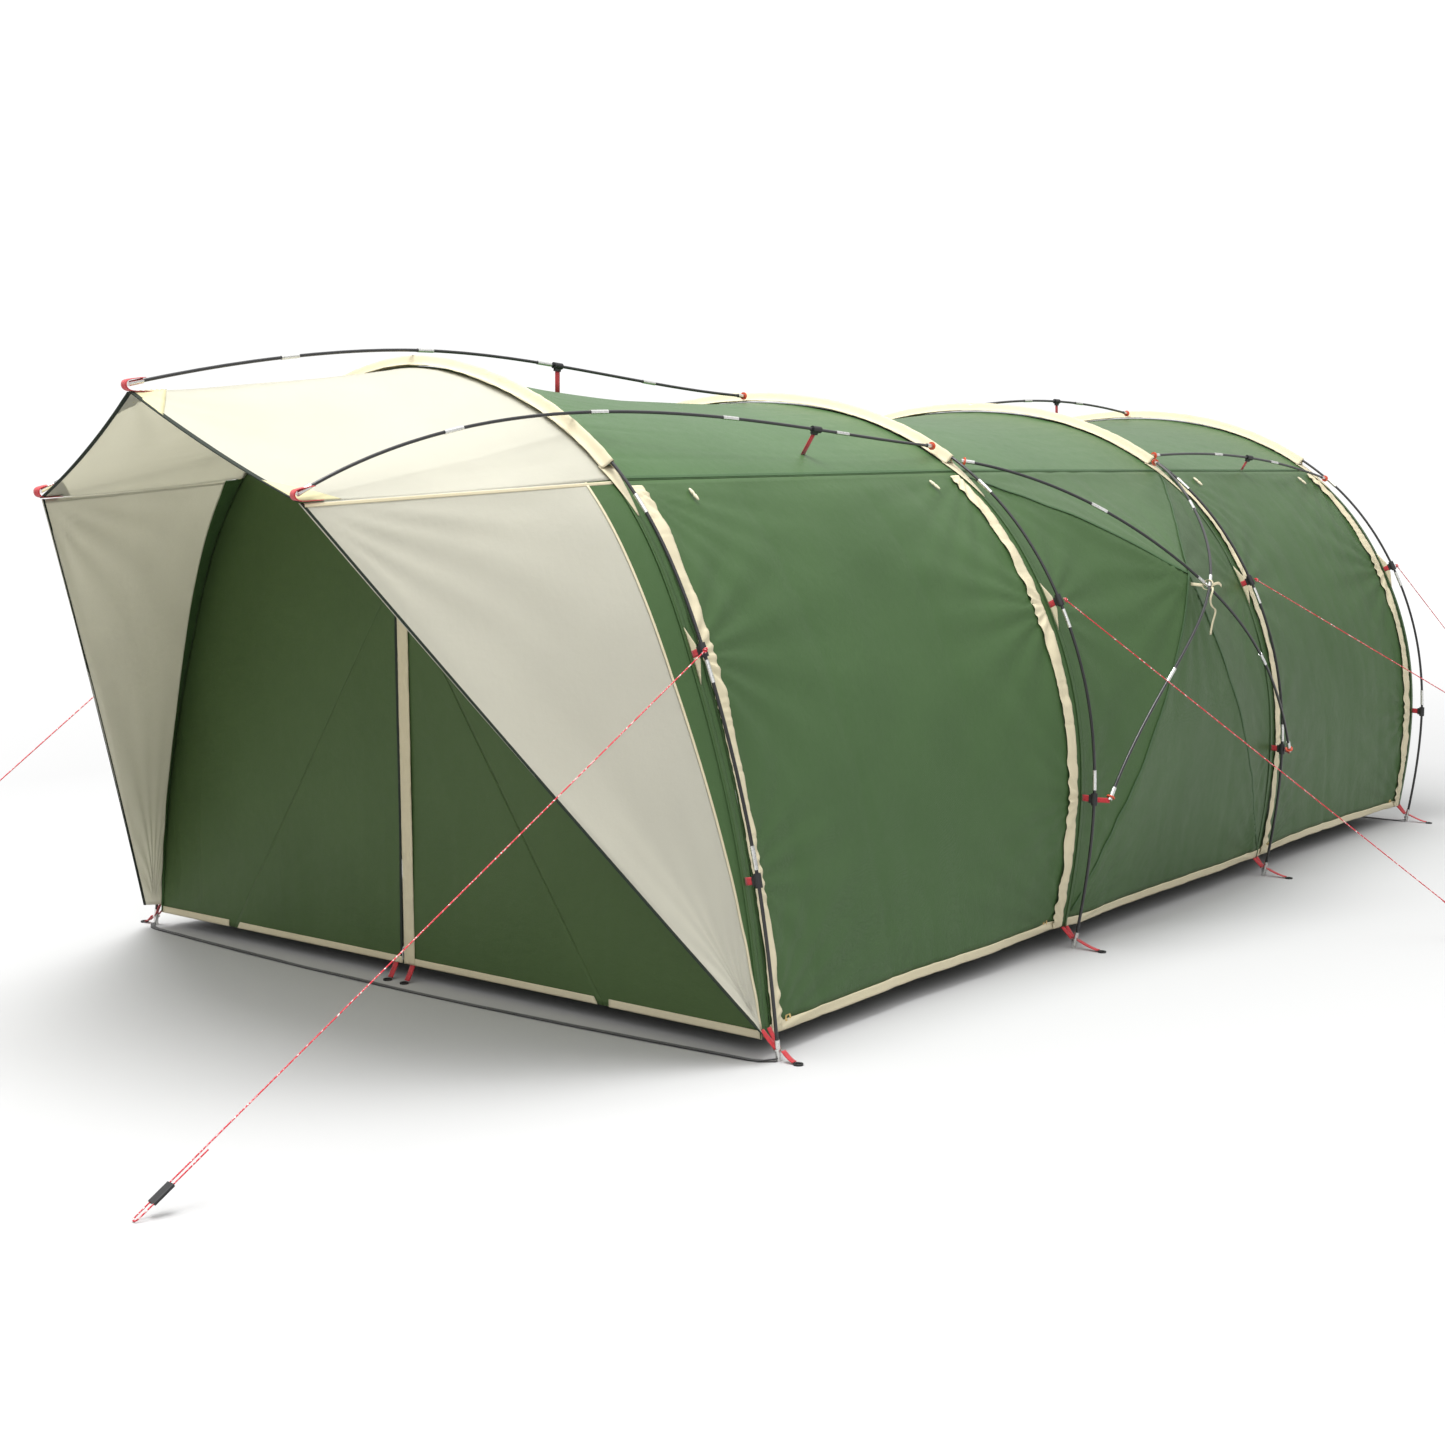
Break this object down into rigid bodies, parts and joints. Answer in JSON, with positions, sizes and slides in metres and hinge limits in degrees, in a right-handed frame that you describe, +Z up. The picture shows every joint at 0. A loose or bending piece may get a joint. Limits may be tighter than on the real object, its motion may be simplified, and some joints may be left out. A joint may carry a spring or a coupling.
{
  "type": "tunnel tent",
  "caption": "Family tunnel tent on arch poles with a porch canopy on forward poles, side doors that lift, a zipped front door, and guy ropes with sliders.",
  "frame": {"origin": "on the ground, at the middle of the tent's length and width", "axes": "+X across the tent to its right side seen from the rear, +Y from the porch to the rear, +Z up"},
  "size_m": [4.591, 7.9623, 2.1108],
  "materials": {
    "steel": "satin ferrules and tips",
    "black_plastic": "moulded, matt",
    "ring_metal": "plain",
    "fibreglass": "glass-fibre rod, satin",
    "red_webbing": "woven webbing",
    "black_webbing": "woven webbing",
    "rope": "braided cord with light flecks",
    "beige_cloth": "coated cloth",
    "canopy_cloth": "coated cloth, lets light through",
    "green_cloth": "coated cloth"
  },
  "bodies": {
    "tent": {"arch_pole_1": "fibreglass", "arch_pole_2": "fibreglass", "arch_pole_3": "fibreglass", "arch_pole_4": "fibreglass", "arch_sleeve_1": "beige_cloth", "arch_sleeve_2": "beige_cloth", "arch_sleeve_3": "beige_cloth", "arch_sleeve_4": "beige_cloth", "bay_1_roof": "green_cloth", "bay_2_roof": "green_cloth", "bay_2_wall_left": "green_cloth", "bay_2_wall_right": "green_cloth", "bay_3_roof": "green_cloth", "bay_3_wall_left": "green_cloth", "bay_3_wall_right": "green_cloth", "cross_pole_ties": "beige_cloth", "foot_straps": "black_webbing", "front_wall": "green_cloth", "guy_rope_front_left": "rope", "guy_rope_front_right": "rope", "guy_rope_rear_right": "rope", "guy_rope_second_right": "rope", "guy_rope_third_right": "rope", "peg_rings": "black_plastic", "pole_clips": "black_plastic", "pole_end_rings": "ring_metal", "pole_end_tips": "steel", "pole_ferrules": "steel", "pole_foot_tips": "steel", "porch_canopy": "canopy_cloth", "porch_pole_left": "fibreglass", "porch_pole_middle": "fibreglass", "porch_pole_right": "fibreglass", "porch_wing_left": "canopy_cloth", "porch_wing_right": "canopy_cloth", "rear_pole_left": "fibreglass", "rear_pole_middle": "fibreglass", "rear_pole_right": "fibreglass", "rear_wall": "green_cloth", "red_webbing": "red_webbing", "side_cross_pole_back_left": "fibreglass", "side_cross_pole_back_right": "fibreglass", "side_cross_pole_front_left": "fibreglass", "side_cross_pole_front_right": "fibreglass", "sleeve_end_tabs": "beige_cloth"},
    "side_door_right": {"side_door_right": "green_cloth", "side_door_flaps_right": "beige_cloth", "door_toggles_right": "beige_cloth"},
    "side_door_left": {"side_door_left": "green_cloth", "side_door_flaps_left": "beige_cloth", "door_toggles_left": "beige_cloth"},
    "front_leaf_right": {"front_door_leaf_right": "green_cloth", "front_zip_flap": "beige_cloth"},
    "front_leaf_left": {"front_door_leaf_left": "green_cloth"},
    "zip_slider": {"front_zip_slider": "steel"},
    "slider_front_right": {"rope_slider_front_right": "black_plastic"},
    "slider_front_left": {"rope_slider_front_left": "black_plastic"},
    "slider_second_right": {"rope_slider_second_right": "black_plastic"},
    "slider_third_right": {"rope_slider_third_right": "black_plastic"},
    "slider_rear_right": {"rope_slider_rear_right": "black_plastic"}
  },
  "joints": [
    {"name": "side_door_right_lift", "type": "hinge", "parent": "tent", "child": "side_door_right", "pos_m": [0.92032, -1.11652, 1.6868], "axis": [-0.0536, -0.9985, -0.0131], "range_deg": [0, 95]},
    {"name": "side_door_left_lift", "type": "hinge", "parent": "tent", "child": "side_door_left", "pos_m": [-0.92032, -1.11652, 1.6868], "axis": [-0.0536, 0.9985, 0.0131], "range_deg": [0, 95]},
    {"name": "front_leaf_right_fold", "type": "hinge", "parent": "tent", "child": "front_leaf_right", "pos_m": [0.34499, -2.00724, 0.712], "axis": [-0.5579, -0.0248, 0.8295], "range_deg": [0, 125]},
    {"name": "front_leaf_left_fold", "type": "hinge", "parent": "tent", "child": "front_leaf_left", "pos_m": [-0.54499, -2.00724, 0.712], "axis": [-0.5579, 0.0248, -0.8295], "range_deg": [0, 125]},
    {"name": "front_zip_slide", "type": "slide", "parent": "tent", "child": "zip_slider", "axis": [0, -0.0299, 0.9996], "range_m": [0, 1.22]},
    {"name": "slider_front_right_travel", "type": "slide", "parent": "tent", "child": "slider_front_right", "axis": [0.0768, 0.8462, 0.5273], "range_m": [0, 0.1]},
    {"name": "slider_front_left_travel", "type": "slide", "parent": "tent", "child": "slider_front_left", "axis": [-0.0768, 0.8462, 0.5273], "range_m": [0, 0.1]},
    {"name": "slider_second_right_travel", "type": "slide", "parent": "tent", "child": "slider_second_right", "axis": [-0.5859, -0.5218, 0.62], "range_m": [0, 0.1]},
    {"name": "slider_third_right_travel", "type": "slide", "parent": "tent", "child": "slider_third_right", "axis": [-0.6271, -0.5937, 0.5043], "range_m": [0, 0.1]},
    {"name": "slider_rear_right_travel", "type": "slide", "parent": "tent", "child": "slider_rear_right", "axis": [-0.3752, -0.5466, 0.7486], "range_m": [0, 0.1]}
  ]
}
